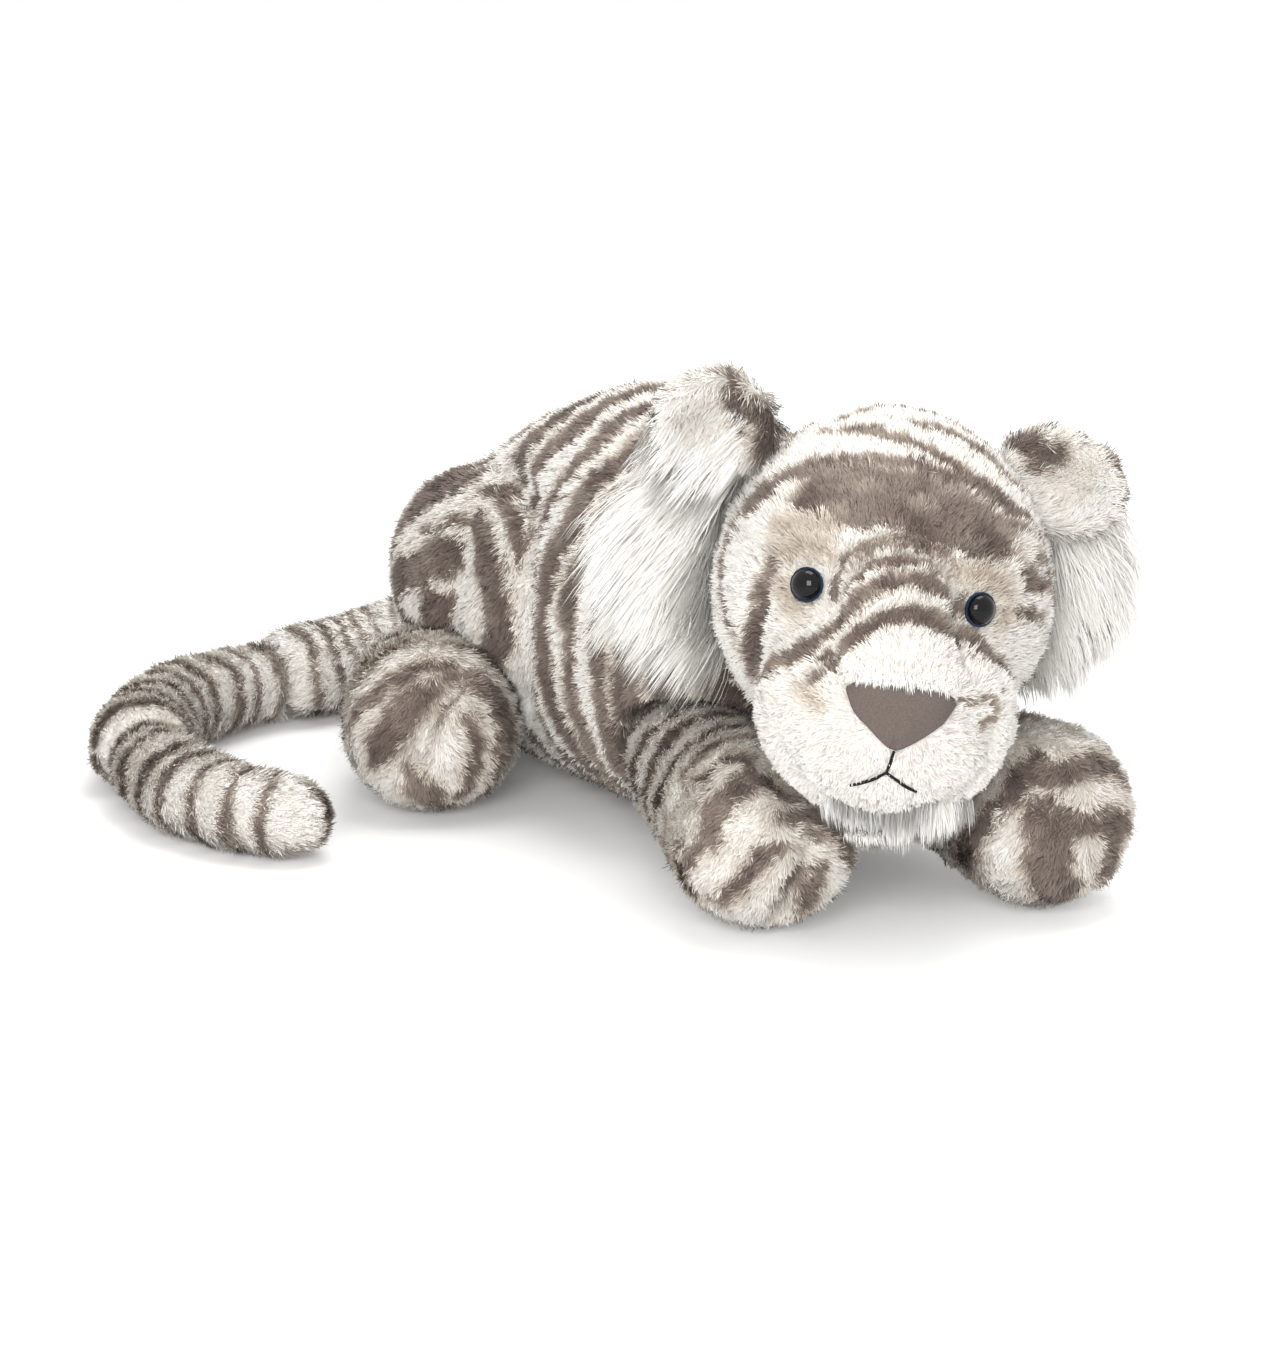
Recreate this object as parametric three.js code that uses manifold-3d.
// A plush tiger that lies on its belly with its head up over its front paws,
// its hind paws beside it and its tail curled along its right side.
// Every plush piece is an open skin of pile fabric over its own filling.
// The tiger faces -Y, its right side is at -X, and the floor is at z = 0.
import * as THREE from 'three';
import { mergeVertices } from 'three/addons/utils/BufferGeometryUtils.js';
import Module from 'manifold-3d';

const wasm = await Module();
wasm.setup();

// Driving dimensions, in millimetres
const bodyLength = 295;
const bodyWidth = 136;
const bodyHeight = 167;
const headDiameter = 130;
const muzzleWidth = 100;
const muzzleHeight = 80;
const muzzleDepth = 72;
const eyeDiameter = 13;
const eyeSpacing = 62;
const noseWidth = 42;
const noseHeight = 22;
const nosePad = 3;
const earWidth = 52;
const earHeight = 43;
const earThickness = 18;
const ruffReach = 34;
const ruffHeight = 80;
const ruffThickness = 22;
const chinTuftWidth = 26;
const frontLegReach = 89;
const shoulderDiameter = 54;
const frontPawDiameter = 73;
const haunchWidth = 64;
const haunchLength = 118;
const haunchHeight = 98;
const hindFootReach = 54;
const ankleDiameter = 60;
const hindPawDiameter = 73;
const tailLength = 345;
const tailDiameter = 38;

// Walls and clearances, in millimetres
const skinThickness = 3;
const neckThickness = 3.5;
const fillingGap = 0.3;
const seamGap = 0.3;
const jointGap = 0.3;
const sweepGap = 0.6;
const floorFlat = 0.5;
const cutOverrun = 40;
const threadDiameter = 1.6;
const irisThickness = 1.2;
const shankDiameter = 3.6;
const washerThickness = 1.5;
const shankTail = 1.5;

// Posture, in degrees
const headYaw = -25;
const headRoll = 8.5;
const neckSlope = 30;
const headTurnAngles = [-10, 0, 10];
const rightLegSplayAngle = 10.8;
const leftLegSplayAngle = 5;
const legSwingAngles = [0, 40];
const footSplayAngle = 22;
const footSwingAngles = [0, 25];
const tailSwingAngles = [-20, 0];

// How finely the round forms are faceted
const bodySides = 16;
const headSides = 18;
const neckSides = 24;
const limbSides = 14;
const roundSides = 16;
const smallSides = 8;
const threadSides = 6;
const threadSteps = 4;
const prismSteps = 5;
const domeSteps = 4;
const capSteps = 2;
const legSteps = 2;
const tailSteps = 4;
const coarseShare = 0.5;
const coarseBallShare = 0.6;
const coarseHeadShare = 2 / 3;

// Shares of the sizes above
const rumpShare = 0.593;
const bodyShares = [
  // along the body, half width, top, bottom
  [0.02, 0.2, 0.33, 0.07],
  [0.07, 0.37, 0.45, 0.02],
  [0.14, 0.43, 0.78, 0],
  [0.22, 0.465, 0.92, 0],
  [0.37, 0.5, 1, 0],
  [0.51, 0.5, 0.98, 0],
  [0.65, 0.49, 0.885, 0],
  [0.78, 0.465, 0.765, 0],
  [0.89, 0.395, 0.64, 0.02],
  [0.96, 0.275, 0.52, 0.08],
  [0.99, 0.14, 0.41, 0.17],
];
const tuftTallShare = 0.8;
const tuftBackShare = 0.15;
const chestPoleShare = 0.2;
const rumpPoleShare = 0.29;
const headPlaceShares = [-0.023, -0.231, 0.73];
const muzzlePlaceShares = [0, -0.8, -0.55];
const shoulderPlaceShares = [0.59, 0.112, 0.25];
const shoulderTwistShare = 0.049;
const haunchPlaceShares = [0.68, 0.68, 0.467];
const anklePlaceShares = [1.06, 0.705, 0.57];
const beanShare = 0.55;
const legBulgeShare = -0.03;
const pawTipShare = 0.72;
const rootHoleShare = 0.5;
const neckReachShare = 0.68;
const neckHoleShare = 0.34;
const headHoleShare = 0.3;
const eyeRiseShare = 0.15;
const faceShiftShare = -0.07;
const irisShare = 1.16;
const domeRiseShare = 0.34;
const washerShare = 1.2;
const tailRootShares = [0.949, 0.98];
const tailPlanShares = [
  [0, 0], [-0.064, 0.055], [-0.133, 0.078], [-0.212, 0.078],
  [-0.33, 0.061], [-0.44, 0], [-0.516, -0.11],
  [-0.551, -0.245], [-0.542, -0.365], [-0.49, -0.45],
];
const tailRiseShares = [1, 0.5, 0.15, 0, 0, 0, 0, -0.03, -0.065, -0.1];
const tailRootSteps = 3;
const tailMiddleSteps = 6;
const tailTipShare = 0.9;
const tailCollarShares = [0.74, 0.9, 1];
const rightEarShares = [0.96, 0, 0.9];
const leftEarShares = [1.0, 0, 0.74];
const ruffPlaceShares = [0.93, 0.27, 0.1];
const ruffAngle = 16;
const bridgeWidthShare = 0.4;
const bridgeTopShare = 0.48;
const bridgeBottomShare = -0.1;
const noseTopShare = 0.47;
const noseCornerShare = 0.22;
const mouthShares = { top: -0.09, fork: -0.27, cornerX: 0.27, cornerZ: -0.42, sagZ: -0.44 };

const degree = Math.PI / 180;
const gravityUp = new THREE.Vector3(0, 0, 1);

// Geometry helpers

function solidOf(geometry) {
  geometry.deleteAttribute('normal');
  geometry.deleteAttribute('uv');
  const merged = mergeVertices(geometry);
  return new wasm.Manifold(new wasm.Mesh({
    numProp: 3,
    vertProperties: new Float32Array(merged.attributes.position.array),
    triVerts: new Uint32Array(merged.index.array),
  }));
}

function geometryOf(solid) {
  const mesh = solid.getMesh();
  const geometry = new THREE.BufferGeometry();
  geometry.setAttribute('position', new THREE.BufferAttribute(mesh.vertProperties, 3));
  geometry.setIndex(new THREE.BufferAttribute(mesh.triVerts, 1));
  geometry.computeVertexNormals();
  return geometry;
}

function placed(solid, matrix) {
  return solid.transform(Array.from(matrix.elements));
}

function at(position, euler = new THREE.Euler()) {
  const turn = new THREE.Quaternion().setFromEuler(euler);
  return new THREE.Matrix4().compose(position, turn, new THREE.Vector3(1, 1, 1));
}

function aimed(position, direction) {
  const turn = new THREE.Quaternion().setFromUnitVectors(gravityUp, direction.clone().normalize());
  return new THREE.Matrix4().compose(position, turn, new THREE.Vector3(1, 1, 1));
}

function turnedAbout(solid, pivot, angle) {
  const matrix = new THREE.Matrix4().makeTranslation(pivot.x, pivot.y, pivot.z);
  matrix.multiply(new THREE.Matrix4().makeRotationZ(angle * degree));
  matrix.multiply(new THREE.Matrix4().makeTranslation(-pivot.x, -pivot.y, -pivot.z));
  return placed(solid, matrix);
}

function cutBy(solid, cutters) {
  return cutters.reduce((rest, cutter) => rest.subtract(cutter), solid);
}

// An ellipsoid of three radii, centred on the origin
function ellipsoid(radii, sides) {
  const sphere = new THREE.SphereGeometry(1, sides, Math.round(sides / 2));
  sphere.scale(radii.x, radii.y, radii.z);
  return solidOf(sphere);
}

// A ball whose flats stay outside the radius, for a hollow that a faceted ball turns in
function hollowBall(radius, sides) {
  const flat = Math.cos(Math.PI / sides);
  const grown = radius / (flat * flat);
  return ellipsoid(new THREE.Vector3(grown, grown, grown), sides);
}

// A cylinder along +Z from the lower to the upper height
function rod(radius, lower, upper, sides) {
  const cylinder = new THREE.CylinderGeometry(radius, radius, upper - lower, sides);
  cylinder.rotateX(90 * degree);
  cylinder.translate(0, 0, (upper + lower) / 2);
  return solidOf(cylinder);
}

// A closed skin over rings of equal point counts, between two poles
function lofted(rings, startPole, endPole) {
  const sides = rings[0].length;
  const points = [startPole, ...rings.flat(), endPole];
  const last = points.length - 1;
  const index = [];
  for (let side = 0; side < sides; side += 1) {
    const next = (side + 1) % sides;
    index.push(0, 1 + next, 1 + side);
    for (let ring = 0; ring < rings.length - 1; ring += 1) {
      const low = 1 + ring * sides;
      const high = low + sides;
      index.push(low + side, low + next, high + next);
      index.push(low + side, high + next, high + side);
    }
    const top = 1 + (rings.length - 1) * sides;
    index.push(last, top + side, top + next);
  }
  const geometry = new THREE.BufferGeometry();
  geometry.setAttribute('position', new THREE.Float32BufferAttribute(points.flatMap((p) => p.toArray()), 3));
  geometry.setIndex(index);
  return solidOf(geometry);
}

function ringAround(centre, tangent, radius, sides) {
  const across = new THREE.Vector3().crossVectors(tangent, gravityUp).normalize();
  const top = new THREE.Vector3().crossVectors(across, tangent).normalize();
  const ring = [];
  for (let side = 0; side < sides; side += 1) {
    const angle = (2 * Math.PI * side) / sides;
    const point = centre.clone();
    point.addScaledVector(across, -radius * Math.cos(angle));
    point.addScaledVector(top, radius * Math.sin(angle));
    ring.push(point);
  }
  return ring;
}

// A stuffed tube through the points: a ball at its root, and a tip that domes by a share of its radius
function limb(points, radii, inset, detail, tipShare) {
  const sideCount = limbSides * detail;
  const path = points.length > 2
    ? new THREE.CatmullRomCurve3(points)
    : new THREE.LineCurve3(points[0], points[1]);
  const first = radii[0] - inset;
  const final = radii[radii.length - 1] - inset;
  const dome = radii[radii.length - 1] * tipShare - inset;
  const startWay = path.getTangent(0);
  const endWay = path.getTangent(1);
  const rings = [];
  for (let step = 1; step <= capSteps; step += 1) {
    const angle = (90 * degree * step) / capSteps;
    const centre = points[0].clone().addScaledVector(startWay, -first * Math.cos(angle));
    rings.push(ringAround(centre, startWay, first * Math.sin(angle), sideCount));
  }
  const steps = radii.length - 1;
  for (let step = 1; step < steps; step += 1) {
    const share = step / steps;
    rings.push(ringAround(path.getPoint(share), path.getTangent(share), radii[step] - inset, sideCount));
  }
  for (let step = 0; step < capSteps; step += 1) {
    const angle = (90 * degree * step) / capSteps;
    const centre = points[points.length - 1].clone().addScaledVector(endWay, dome * Math.sin(angle));
    rings.push(ringAround(centre, endWay, final * Math.cos(angle), sideCount));
  }
  const startPole = points[0].clone().addScaledVector(startWay, -first);
  const endPole = points[points.length - 1].clone().addScaledVector(endWay, dome);
  return lofted(rings, startPole, endPole);
}

// Everything below the floor, for cutting a resting form flat
const floorBlock = (() => {
  const size = bodyLength + tailLength;
  const box = new THREE.BoxGeometry(2 * size, 2 * size, cutOverrun);
  box.translate(0, 0, -cutOverrun / 2);
  return solidOf(box);
})();

// The half space past a point along a direction
function halfSpace(point, direction) {
  const size = bodyLength + headDiameter;
  const box = new THREE.BoxGeometry(size, size, size);
  box.translate(0, 0, size / 2);
  return placed(solidOf(box), aimed(point, direction));
}

// The scene and its materials

const tiger = new THREE.Group();

function plain(red, green, blue, roughness) {
  const color = new THREE.Color().setRGB(red / 255, green / 255, blue / 255, THREE.SRGBColorSpace);
  return new THREE.MeshStandardMaterial({ color, roughness, metalness: 0 });
}

const looks = {
  stripedPlush: [196, 188, 181, 0.95],
  whitePlush: [246, 242, 236, 0.95],
  longPlush: [240, 235, 226, 0.95],
  earPlush: [214, 206, 199, 0.95],
  suede: [132, 121, 115, 0.9],
  thread: [52, 46, 44, 0.8],
  eyeBlack: [8, 7, 8, 0.08],
  irisBlue: [38, 54, 78, 0.2],
  washer: [232, 232, 230, 0.5],
  filling: [250, 250, 248, 1],
  beanBag: [226, 221, 212, 0.9],
};

function addPiece(name, solid, look, group = tiger) {
  const mesh = new THREE.Mesh(geometryOf(solid), plain(...looks[look]));
  mesh.name = name;
  group.add(mesh);
}

// Places worked out from the sizes

const headRadius = headDiameter / 2;
const flankX = bodyWidth / 2;
const rumpY = rumpShare * bodyLength;
const chestY = rumpY - bodyLength;
const headPivot = new THREE.Vector3(
  headPlaceShares[0] * headDiameter,
  chestY + headPlaceShares[1] * headDiameter,
  headPlaceShares[2] * bodyHeight,
);
const headPose = at(headPivot, new THREE.Euler(0, headRoll * degree, headYaw * degree, 'ZXY'));
const hollowFlat = Math.cos(Math.PI / (headSides * coarseHeadShare)) ** 2;
const neckInner = headRadius + jointGap;
const neckOuter = neckInner + neckThickness;
const cupRadius = neckOuter + jointGap;

// Forms without their neighbours' cuts; an inset makes the same form smaller all round

function bodyForm(inset, detail = 1) {
  const shrink = (bodyLength - 2 * inset) / bodyLength;
  const middle = (chestY + rumpY) / 2;
  const alongAt = (share) => middle + (chestY + share * bodyLength - middle) * shrink;
  const rings = bodyShares.map(([along, wide, top, bottom]) => {
    const high = top * bodyHeight - inset;
    const low = bottom * bodyHeight - floorFlat + inset;
    const halfWidth = wide * bodyWidth - inset;
    const ring = [];
    const sideCount = bodySides * detail;
    for (let side = 0; side < sideCount; side += 1) {
      const angle = (2 * Math.PI * side) / sideCount;
      const x = halfWidth * Math.cos(angle);
      const z = (high + low) / 2 + (high - low) / 2 * Math.sin(angle);
      ring.push(new THREE.Vector3(-x, alongAt(along), z));
    }
    return ring;
  });
  const chestPole = new THREE.Vector3(0, alongAt(0), chestPoleShare * bodyHeight);
  const rumpPole = new THREE.Vector3(0, alongAt(1), rumpPoleShare * bodyHeight);
  return lofted(rings, chestPole, rumpPole);
}

const muzzlePlace = new THREE.Vector3(...muzzlePlaceShares).multiplyScalar(headRadius);

function muzzleForm(inset, detail = 1) {
  const radii = new THREE.Vector3(muzzleWidth, muzzleDepth, muzzleHeight).divideScalar(2);
  return placed(ellipsoid(radii.subScalar(inset), headSides * detail), at(muzzlePlace));
}

function chinTuftForm(inset) {
  const wide = chinTuftWidth / 2;
  const radii = new THREE.Vector3(wide, wide, wide * tuftTallShare).subScalar(inset);
  const place = muzzlePlace.clone();
  place.y -= tuftBackShare * muzzleDepth / 2;
  place.z -= muzzleHeight / 2;
  return placed(ellipsoid(radii, limbSides), at(place));
}

function headForm(inset, detail = 1) {
  const ball = new THREE.Vector3(headRadius, headRadius, headRadius).subScalar(inset);
  return ellipsoid(ball, headSides * detail).add(muzzleForm(inset, detail));
}

// How high the middle of a lying tube is, so that its lowest flat is cut by the floor
function restingHeight(radius) {
  return radius * Math.cos(Math.PI / limbSides) - floorFlat;
}

const sides = [
  { name: 'right', sign: -1, splay: rightLegSplayAngle, twist: 1, earShares: rightEarShares },
  { name: 'left', sign: 1, splay: leftLegSplayAngle, twist: -1, earShares: leftEarShares },
];

// A level direction forwards, turned outwards on the tiger's own side
function forwards(sign, splay) {
  return new THREE.Vector3(sign * Math.sin(splay * degree), -Math.cos(splay * degree), 0);
}

for (const side of sides) {
  side.shoulder = new THREE.Vector3(
    side.sign * shoulderPlaceShares[0] * flankX,
    chestY + (shoulderPlaceShares[1] + side.twist * shoulderTwistShare) * bodyLength,
    shoulderPlaceShares[2] * bodyHeight,
  );
  const legWay = forwards(side.sign, side.splay);
  side.paw = side.shoulder.clone().addScaledVector(legWay, frontLegReach);
  side.paw.z = restingHeight(frontPawDiameter / 2);
  side.ankle = new THREE.Vector3(
    side.sign * anklePlaceShares[0] * flankX,
    chestY + anklePlaceShares[1] * bodyLength,
    anklePlaceShares[2] * ankleDiameter,
  );
  const footWay = forwards(side.sign, footSplayAngle);
  side.sole = side.ankle.clone().addScaledVector(footWay, hindFootReach);
  side.sole.z = restingHeight(hindPawDiameter / 2);
  side.haunch = new THREE.Vector3(
    side.sign * haunchPlaceShares[0] * flankX,
    chestY + haunchPlaceShares[1] * bodyLength,
    haunchPlaceShares[2] * bodyHeight,
  );
}

function swelling(from, to, stepCount, bulgeShare) {
  const radii = [];
  for (let step = 0; step <= stepCount; step += 1) {
    const share = step / stepCount;
    radii.push((from + (to - from) * share) * (1 + bulgeShare * Math.sin(Math.PI * share)));
  }
  return radii;
}

function frontLegForm(side, inset, detail = 1) {
  const radii = swelling(shoulderDiameter / 2, frontPawDiameter / 2, legSteps, legBulgeShare);
  return limb([side.shoulder, side.paw], radii, inset, detail, pawTipShare);
}

function hindFootForm(side, inset, detail = 1) {
  const radii = swelling(ankleDiameter / 2, hindPawDiameter / 2, legSteps, 0);
  return limb([side.ankle, side.sole], radii, inset, detail, pawTipShare);
}

function haunchForm(side, inset, detail = 1) {
  const radii = new THREE.Vector3(haunchWidth, haunchLength, haunchHeight).divideScalar(2).subScalar(inset);
  return placed(ellipsoid(radii, limbSides * detail), at(side.haunch));
}

// The tail's three stretches; each starts in a cup around the ball that ends the one before

const tailRadius = tailDiameter / 2;
const tailPoints = tailPlanShares.map(([x, y], step) => new THREE.Vector3(
  x * tailLength,
  tailRootShares[0] * rumpY + y * tailLength,
  restingHeight(tailRadius) + tailRiseShares[step] * tailRootShares[1] * tailRadius,
));
const tailStretches = [
  { name: 'tail_base', points: tailPoints.slice(0, tailRootSteps + 1) },
  { name: 'tail_middle', points: tailPoints.slice(tailRootSteps, tailMiddleSteps + 1) },
  { name: 'tail_end', points: tailPoints.slice(tailMiddleSteps) },
];

function tailForm(stretch, inset, detail = 1) {
  const order = tailStretches.indexOf(stretch);
  const isRoot = order === 0;
  const isTip = order === tailStretches.length - 1;
  const radii = [];
  for (let step = 0; step <= tailSteps; step += 1) {
    const collar = isRoot ? 1 : tailCollarShares[Math.min(step, tailCollarShares.length - 1)];
    const taper = isTip ? 1 + (tailTipShare - 1) * (step / tailSteps) : 1;
    radii.push(tailRadius * collar * taper);
  }
  return limb(stretch.points, radii, inset, detail, 1);
}

// What neighbours take out of a form, each grown by a wall

function swept(form, pivot, angles) {
  return angles.map((angle) => turnedAbout(form, pivot, angle));
}

// The least growth that keeps a coarse tube's flats outside a fine one's corners
function coarseGrowth(radius) {
  return radius / Math.cos(Math.PI / (limbSides * coarseShare)) - radius;
}

// The room that a moving limb needs: its ball's hollow, and the limb at rest and swung out.
// Behind a wall the room is coarse and stands at rest only.
function limbRoom(formAt, pivot, ballRadius, swings, wall) {
  const detail = wall > 0 ? coarseShare : 1;
  const angles = wall > 0 ? [0] : swings;
  const grown = sweepGap + wall + (wall > 0 ? coarseGrowth(ballRadius) : 0);
  const ballSides = wall > 0 ? Math.round(limbSides * coarseBallShare) : limbSides;
  const ball = hollowBall(ballRadius + jointGap + wall, ballSides);
  return [placed(ball, at(pivot)), ...swept(formAt(-grown, detail), pivot, angles)];
}

function legRoom(side, wall) {
  const formAt = (inset, detail) => frontLegForm(side, inset, detail);
  const swings = legSwingAngles.map((angle) => angle * side.sign);
  return limbRoom(formAt, side.shoulder, shoulderDiameter / 2, swings, wall);
}

function footRoom(side, wall) {
  const formAt = (inset, detail) => hindFootForm(side, inset, detail);
  const swings = footSwingAngles.map((angle) => angle * side.sign);
  return limbRoom(formAt, side.ankle, ankleDiameter / 2, swings, wall);
}

function tailRoom(wall) {
  const formAt = (inset, detail) => tailForm(tailStretches[0], inset, detail);
  return limbRoom(formAt, tailPoints[0], tailRadius, tailSwingAngles, wall);
}

// What the head needs of the paws: its ball, and the muzzle and chin tuft turned both ways
function headRoom(wall) {
  const chin = placed(muzzleForm(-sweepGap - wall).add(chinTuftForm(-sweepGap - wall)), headPose);
  const ball = placed(hollowBall(headRadius + sweepGap + wall, headSides), at(headPivot));
  return [ball, ...swept(chin, headPivot, headTurnAngles)];
}

// The body's skin, filling and bean bag

function buildBody() {
  const roomsAt = (wall) => [
    placed(hollowBall(cupRadius + wall, wall > 0 ? headSides * coarseShare : neckSides), at(headPivot)),
    ...sides.flatMap((side) => legRoom(side, wall)),
    ...sides.flatMap((side) => footRoom(side, wall)),
    ...tailRoom(wall),
  ];
  const outer = cutBy(bodyForm(0), roomsAt(0)).subtract(floorBlock);
  const hollow = cutBy(bodyForm(skinThickness, coarseShare), roomsAt(skinThickness));
  const inner = cutBy(bodyForm(skinThickness + fillingGap, coarseShare), roomsAt(skinThickness + fillingGap));
  const neckHole = placed(
    rod(neckHoleShare * headRadius, headRadius / 2, cupRadius + cutOverrun, limbSides),
    aimed(headPivot, neckWay()),
  );
  addPiece('body_skin', outer.subtract(hollow).subtract(neckHole), 'stripedPlush');
  const bagTop = new THREE.Vector3(0, 0, beanShare / 2 * bodyHeight);
  const bagFront = new THREE.Vector3(0, beanShare * rumpY / 2, 0);
  const bagRoom = halfSpace(bagTop, gravityUp.clone().negate())
    .intersect(halfSpace(bagFront, new THREE.Vector3(0, 1, 0)));
  const bagShape = halfSpace(bagTop.clone().setZ(bagTop.z - fillingGap), gravityUp.clone().negate())
    .intersect(halfSpace(bagFront.clone().setY(bagFront.y + fillingGap), new THREE.Vector3(0, 1, 0)));
  addPiece('body_filling', inner.subtract(bagRoom), 'filling');
  addPiece('rump_bean_bag', inner.intersect(bagShape), 'beanBag');
}

function neckWay() {
  return new THREE.Vector3(0, Math.cos(neckSlope * degree), -Math.sin(neckSlope * degree));
}

// The neck: a collar of skin and a pad of filling between the head's ball and the body's cup

function buildNeck() {
  const turn = aimed(new THREE.Vector3(), neckWay());
  const outer = placed(ellipsoid(new THREE.Vector3(neckOuter, neckOuter, neckOuter), neckSides), turn);
  const shell = outer.subtract(hollowBall(neckInner, neckSides));
  const reach = neckReachShare * headRadius;
  const hole = neckHoleShare * headRadius;
  const top = neckOuter + cutOverrun;
  const column = placed(rod(reach, 0, top, limbSides), turn);
  const core = placed(rod(hole - seamGap, 0, top, limbSides), turn);
  const coreRoom = placed(rod(hole, 0, top, limbSides), turn);
  const place = at(headPivot);
  addPiece('neck_skin', placed(shell.intersect(column).subtract(coreRoom), place), 'stripedPlush');
  addPiece('neck_filling', placed(shell.intersect(core), place), 'filling');
}

// The head, built about its own centre and then posed

const headGroup = new THREE.Group();
headGroup.applyMatrix4(headPose);
tiger.add(headGroup);

// The eyes and the bridge are sewn a little to the right of the muzzle's middle
const faceShift = faceShiftShare * headRadius;

function eyeWay(sign) {
  const x = faceShift + sign * eyeSpacing / 2;
  const z = eyeRiseShare * headRadius;
  return new THREE.Vector3(x, -Math.sqrt(headRadius * headRadius - x * x - z * z), z).normalize();
}

function prismAlongY(shape) {
  const depth = headDiameter + muzzleDepth;
  const settings = { depth, bevelEnabled: false, curveSegments: prismSteps };
  const geometry = new THREE.ExtrudeGeometry(shape, settings);
  geometry.rotateX(90 * degree);
  return solidOf(geometry);
}

function bridgePrism(grow) {
  const wide = bridgeWidthShare * headRadius + grow;
  const top = bridgeTopShare * headRadius + grow;
  const bottom = bridgeBottomShare * headRadius - grow;
  const shape = new THREE.Shape();
  shape.moveTo(faceShift - wide, bottom);
  shape.lineTo(faceShift + wide, bottom);
  shape.absellipse(faceShift, bottom, wide, top - bottom, 0, Math.PI, false, 0);
  return prismAlongY(shape);
}

function buildHeadSkins() {
  const neckHole = placed(
    rod(headHoleShare * headRadius, headRadius / 2, headRadius + cutOverrun, limbSides),
    aimed(new THREE.Vector3(), new THREE.Vector3(0, 1, 0)),
  );
  const holes = sides.map((side) => placed(
    rod(shankDiameter / 2 + seamGap, headRadius / 2, headRadius + cutOverrun, smallSides),
    aimed(new THREE.Vector3(), eyeWay(side.sign)),
  ));
  const shell = cutBy(headForm(0).subtract(headForm(skinThickness, coarseHeadShare)), [neckHole, ...holes]);
  const muzzleRadii = new THREE.Vector3(muzzleWidth, muzzleDepth, muzzleHeight).divideScalar(2);
  const muzzleZone = (grow) => placed(
    ellipsoid(muzzleRadii.clone().addScalar(skinThickness + grow), headSides),
    at(muzzlePlace),
  );
  const bridge = shell.intersect(bridgePrism(0));
  const muzzle = shell.intersect(muzzleZone(0)).subtract(bridgePrism(seamGap));
  const rest = shell.subtract(muzzleZone(seamGap)).subtract(bridgePrism(seamGap));
  addPiece('head_skin', rest, 'stripedPlush', headGroup);
  addPiece('muzzle_skin', muzzle, 'whitePlush', headGroup);
  addPiece('nose_bridge_skin', bridge, 'stripedPlush', headGroup);
}

function eyePlace(sign, height) {
  const way = eyeWay(sign);
  return aimed(way.clone().multiplyScalar(height), way);
}

function ring(outerRadius, innerRadius, thickness) {
  return rod(outerRadius, 0, thickness, roundSides).subtract(
    rod(innerRadius, -cutOverrun, cutOverrun, smallSides),
  );
}

function buildEyes() {
  const radius = eyeDiameter / 2;
  const shank = shankDiameter / 2;
  const washer = washerShare * radius;
  const innerRadius = (headRadius - skinThickness) * hollowFlat;
  const washerTop = Math.sqrt(innerRadius * innerRadius - washer * washer) - seamGap;
  const shankFoot = washerTop - washerThickness - shankTail;
  const irisFoot = headRadius + seamGap;
  const domeFoot = irisFoot + irisThickness + seamGap;
  const rise = domeRiseShare * eyeDiameter;
  for (const side of sides) {
    const foot = shankFoot - domeFoot;
    const profile = [new THREE.Vector2(0, foot), new THREE.Vector2(shank, foot)];
    profile.push(new THREE.Vector2(shank, 0), new THREE.Vector2(radius, 0));
    for (let step = 1; step < domeSteps; step += 1) {
      const angle = (90 * degree * step) / domeSteps;
      profile.push(new THREE.Vector2(radius * Math.cos(angle), rise * Math.sin(angle)));
    }
    profile.push(new THREE.Vector2(0, rise));
    const lathe = new THREE.LatheGeometry(profile, roundSides);
    lathe.rotateX(90 * degree);
    const dome = placed(solidOf(lathe), eyePlace(side.sign, domeFoot));
    const irisRing = ring(irisShare * radius, shank + seamGap, irisThickness);
    const iris = placed(irisRing, eyePlace(side.sign, irisFoot));
    const lock = placed(
      ring(washer, shank + seamGap, washerThickness),
      eyePlace(side.sign, washerTop - washerThickness),
    );
    addPiece(`eye_${side.name}_dome`, dome, 'eyeBlack', headGroup);
    addPiece(`eye_${side.name}_iris`, iris, 'irisBlue', headGroup);
    addPiece(`eye_${side.name}_washer`, lock, 'washer', headGroup);
  }
}

function buildHeadFilling() {
  const radius = washerShare * eyeDiameter / 2 + fillingGap;
  const innerRadius = (headRadius - skinThickness) * hollowFlat;
  const washerTop = Math.sqrt(innerRadius * innerRadius - radius * radius);
  const floor = washerTop - washerThickness - shankTail - 2 * seamGap;
  const pockets = sides.map((side) => placed(
    rod(radius, floor, headRadius + cutOverrun, roundSides),
    aimed(new THREE.Vector3(), eyeWay(side.sign)),
  ));
  const filling = cutBy(headForm(skinThickness + fillingGap, coarseHeadShare), pockets);
  addPiece('head_filling', filling, 'filling', headGroup);
}

// A point on the muzzle's front, lifted off it, at a place across and up
function onMuzzle(x, z, lift) {
  const radii = new THREE.Vector3(muzzleWidth, muzzleDepth, muzzleHeight).divideScalar(2).addScalar(lift);
  const left = 1 - (x / radii.x) ** 2 - (z / radii.z) ** 2;
  return new THREE.Vector3(x, muzzlePlace.y - radii.y * Math.sqrt(left), muzzlePlace.z + z);
}

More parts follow.
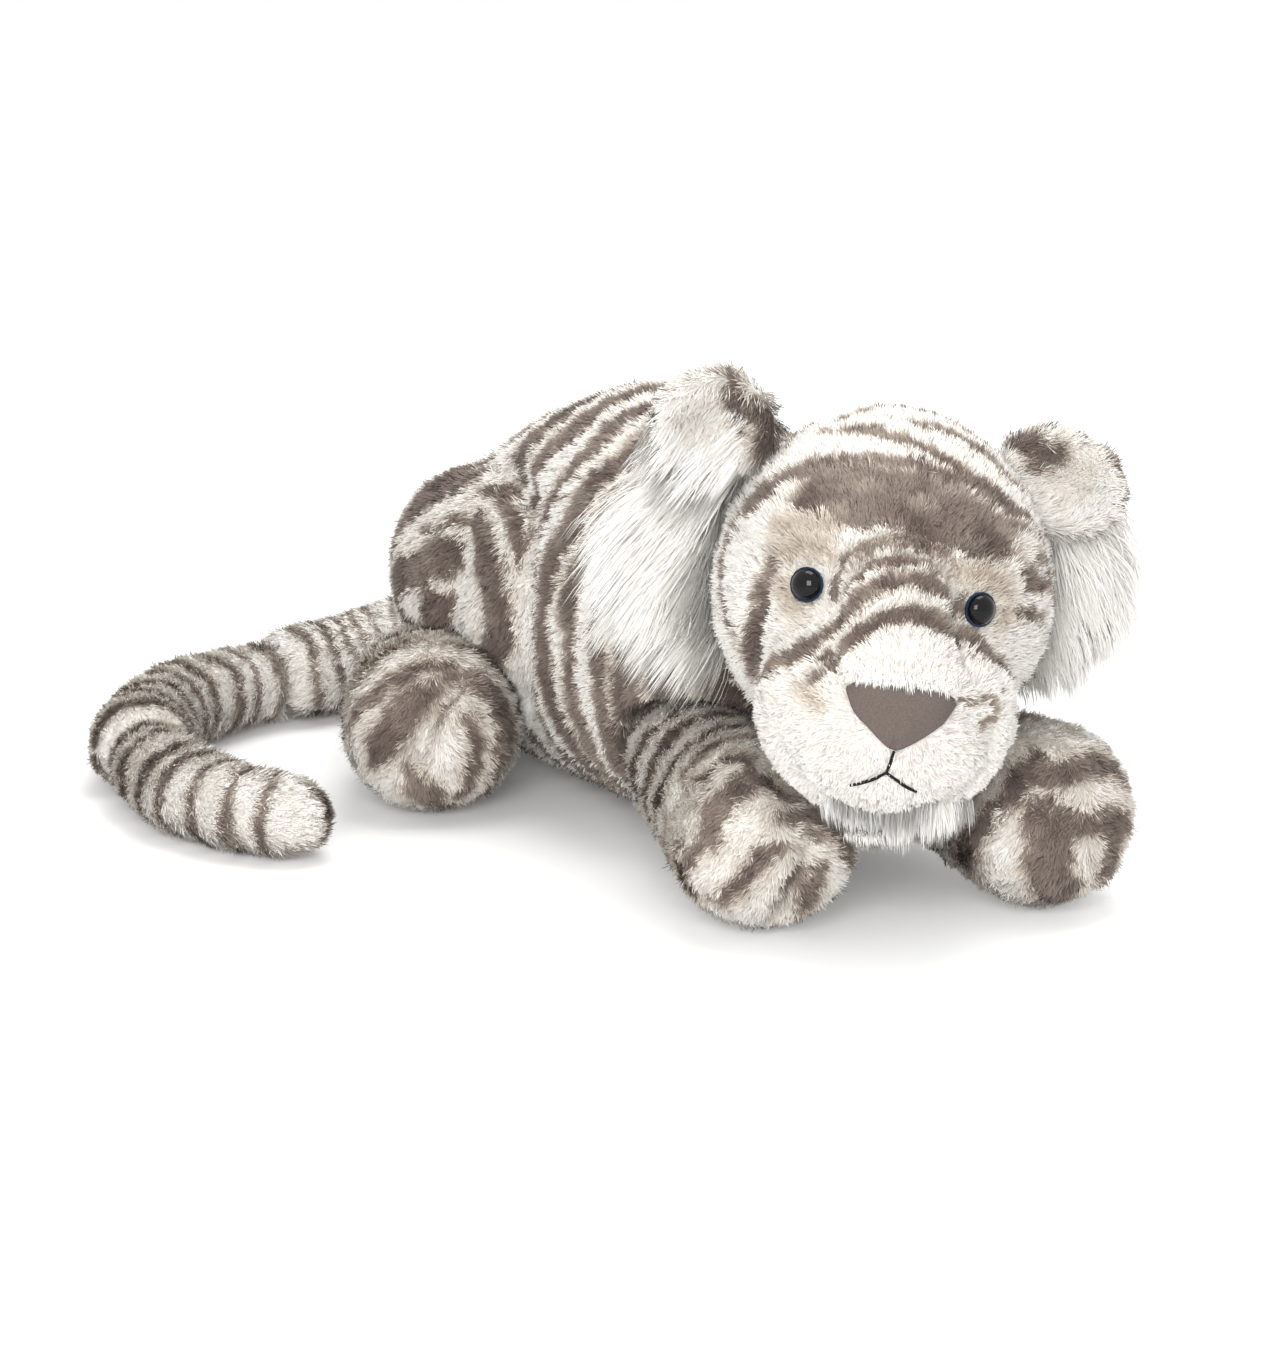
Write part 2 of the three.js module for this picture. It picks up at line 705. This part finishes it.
function buildNose() {
  const wide = noseWidth / 2;
  const top = noseTopShare * muzzleHeight / 2;
  const bottom = top - noseHeight;
  const corner = noseCornerShare * noseHeight;
  const shape = new THREE.Shape();
  shape.moveTo(0, top);
  shape.lineTo(wide - corner, top);
  shape.quadraticCurveTo(wide, top, wide - corner / 2, top - 2 * corner);
  shape.quadraticCurveTo(corner * 2, bottom + corner / 2, 0, bottom);
  shape.quadraticCurveTo(-corner * 2, bottom + corner / 2, -wide + corner / 2, top - 2 * corner);
  shape.quadraticCurveTo(-wide, top, -wide + corner, top);
  const prism = prismAlongY(shape);
  const lifted = placed(prism, at(muzzlePlace));
  const radii = new THREE.Vector3(muzzleWidth, muzzleDepth, muzzleHeight).divideScalar(2);
  const outer = placed(ellipsoid(radii.clone().addScalar(nosePad), headSides), at(muzzlePlace));
  const clear = placed(ellipsoid(radii.clone().addScalar(seamGap), headSides), at(muzzlePlace));
  addPiece('nose_patch', lifted.intersect(outer).subtract(clear), 'suede', headGroup);
}

function threadTube(points) {
  const radius = threadDiameter / 2;
  const outline = [];
  for (let side = 0; side < threadSides; side += 1) {
    const angle = (2 * Math.PI * side) / threadSides;
    outline.push(new THREE.Vector2(radius * Math.cos(angle), radius * Math.sin(angle)));
  }
  const geometry = new THREE.ExtrudeGeometry(new THREE.Shape(outline), {
    steps: threadSteps,
    extrudePath: new THREE.CatmullRomCurve3(points),
    bevelEnabled: false,
  });
  return solidOf(geometry);
}

function buildMouth() {
  const lift = threadDiameter / 2 + seamGap;
  const tall = muzzleHeight / 2;
  const wide = muzzleWidth / 2;
  const forkZ = mouthShares.fork * tall;
  const gap = threadDiameter + seamGap;
  const centre = [
    onMuzzle(0, mouthShares.top * tall - seamGap, lift),
    onMuzzle(0, (mouthShares.top * tall + forkZ) / 2, lift),
    onMuzzle(0, forkZ, lift),
  ];
  addPiece('mouth_stitch_centre', threadTube(centre), 'thread', headGroup);
  for (const side of sides) {
    const line = [
      onMuzzle(side.sign * threadDiameter, forkZ - gap, lift),
      onMuzzle(side.sign * mouthShares.cornerX * wide / 2, mouthShares.sagZ * tall, lift),
      onMuzzle(side.sign * mouthShares.cornerX * wide, mouthShares.cornerZ * tall, lift),
    ];
    addPiece(`mouth_stitch_${side.name}`, threadTube(line), 'thread', headGroup);
  }
}

function earForm(side, grow) {
  const radii = new THREE.Vector3(earWidth, earThickness, earHeight).divideScalar(2).addScalar(grow);
  const [across, ahead, rise] = side.earShares;
  const place = new THREE.Vector3(side.sign * across, ahead, rise).multiplyScalar(headRadius);
  return placed(ellipsoid(radii, limbSides), at(place));
}

function skullRoom() {
  const radius = headRadius + seamGap;
  return ellipsoid(new THREE.Vector3(radius, radius, radius), headSides);
}

function buildEars() {
  const skull = skullRoom();
  for (const side of sides) {
    const ear = earForm(side, 0).subtract(skull);
    const front = halfSpace(new THREE.Vector3(0, -seamGap / 2, 0), new THREE.Vector3(0, -1, 0));
    const back = halfSpace(new THREE.Vector3(0, seamGap / 2, 0), new THREE.Vector3(0, 1, 0));
    addPiece(`ear_${side.name}_lining`, ear.intersect(front), 'longPlush', headGroup);
    addPiece(`ear_${side.name}_back`, ear.intersect(back), 'earPlush', headGroup);
  }
}

function buildRuffs() {
  const skull = skullRoom();
  const radii = new THREE.Vector3(ruffReach, ruffThickness / 2, ruffHeight / 2);
  for (const side of sides) {
    const place = new THREE.Vector3(side.sign * ruffPlaceShares[0], ruffPlaceShares[1], ruffPlaceShares[2]);
    const turn = new THREE.Euler(0, 0, side.sign * ruffAngle * degree);
    const form = placed(ellipsoid(radii, limbSides), at(place.multiplyScalar(headRadius), turn));
    const ruff = form.subtract(skull).subtract(earForm(side, seamGap));
    addPiece(`cheek_ruff_${side.name}`, ruff, 'longPlush', headGroup);
  }
}

function buildChinTuft() {
  addPiece('chin_tuft', chinTuftForm(0).subtract(headForm(-seamGap)), 'longPlush', headGroup);
}

// Front legs: skin, filling and a bean bag in the paw

function buildLimb(name, formAt, root, tip, cutsAt, holeRadius) {
  const way = tip.clone().sub(root).normalize();
  const hole = placed(rod(holeRadius, 0, cutOverrun, smallSides), aimed(root, way.clone().negate()));
  const outer = cutBy(formAt(0), cutsAt(0)).subtract(floorBlock);
  const hollow = cutBy(formAt(skinThickness, coarseShare), cutsAt(skinThickness));
  const inner = cutBy(formAt(skinThickness + fillingGap, coarseShare), cutsAt(skinThickness + fillingGap));
  const bagFace = root.clone().lerp(tip, beanShare);
  addPiece(`${name}_skin`, outer.subtract(hollow).subtract(hole), 'stripedPlush');
  addPiece(`${name}_filling`, inner.subtract(halfSpace(bagFace, way)), 'filling');
  bagFace.addScaledVector(way, fillingGap);
  addPiece(`${name}_bean_bag`, inner.intersect(halfSpace(bagFace, way)), 'beanBag');
}

function buildLegs() {
  for (const side of sides) {
    const shoulderHole = rootHoleShare * shoulderDiameter / 2;
    buildLimb(`front_leg_${side.name}`, (inset, detail) => frontLegForm(side, inset, detail),
      side.shoulder, side.paw, headRoom, shoulderHole);
    const ankleHole = rootHoleShare * ankleDiameter / 2;
    buildLimb(`hind_foot_${side.name}`, (inset, detail) => hindFootForm(side, inset, detail),
      side.ankle, side.sole, () => [], ankleHole);
  }
}

// Haunches: padded panels sewn to the flanks over the hind feet

function buildHaunches() {
  for (const side of sides) {
    const flank = bodyForm(-seamGap);
    const cutsAt = (wall) => footRoom(side, wall);
    const outer = cutBy(haunchForm(side, 0), [flank, ...cutsAt(0)]);
    const hollow = cutBy(haunchForm(side, skinThickness, coarseShare), cutsAt(skinThickness));
    const depth = skinThickness + fillingGap;
    const inner = cutBy(haunchForm(side, depth, coarseShare), cutsAt(depth));
    addPiece(`haunch_${side.name}_skin`, outer.subtract(hollow), 'stripedPlush');
    addPiece(`haunch_${side.name}_filling`, inner.subtract(flank), 'filling');
  }
}

// The tail

function buildTail() {
  tailStretches.forEach((stretch, order) => {
    const root = stretch.points[0];
    const next = stretch.points[1];
    const way = next.clone().sub(root).normalize();
    const ball = (wall) => (order === 0
      ? []
      : [placed(hollowBall(tailRadius + jointGap + wall, limbSides), at(root))]);
    const outer = cutBy(tailForm(stretch, 0), ball(0)).subtract(floorBlock);
    const hollow = cutBy(tailForm(stretch, skinThickness, coarseShare), ball(skinThickness));
    const depth = skinThickness + fillingGap;
    const inner = cutBy(tailForm(stretch, depth, coarseShare), ball(depth));
    const hole = placed(
      rod(rootHoleShare * tailRadius, -cutOverrun, cutOverrun, smallSides),
      aimed(root, way),
    );
    const reachable = order === 0 ? hole.subtract(halfSpace(root, way)) : hole;
    addPiece(`${stretch.name}_skin`, outer.subtract(hollow).subtract(reachable), 'stripedPlush');
    addPiece(`${stretch.name}_filling`, inner, 'filling');
  });
}

buildBody();
buildNeck();
buildHeadSkins();
buildHeadFilling();
buildEyes();
buildNose();
buildMouth();
buildEars();
buildRuffs();
buildChinTuft();
buildLegs();
buildHaunches();
buildTail();

export default tiger;
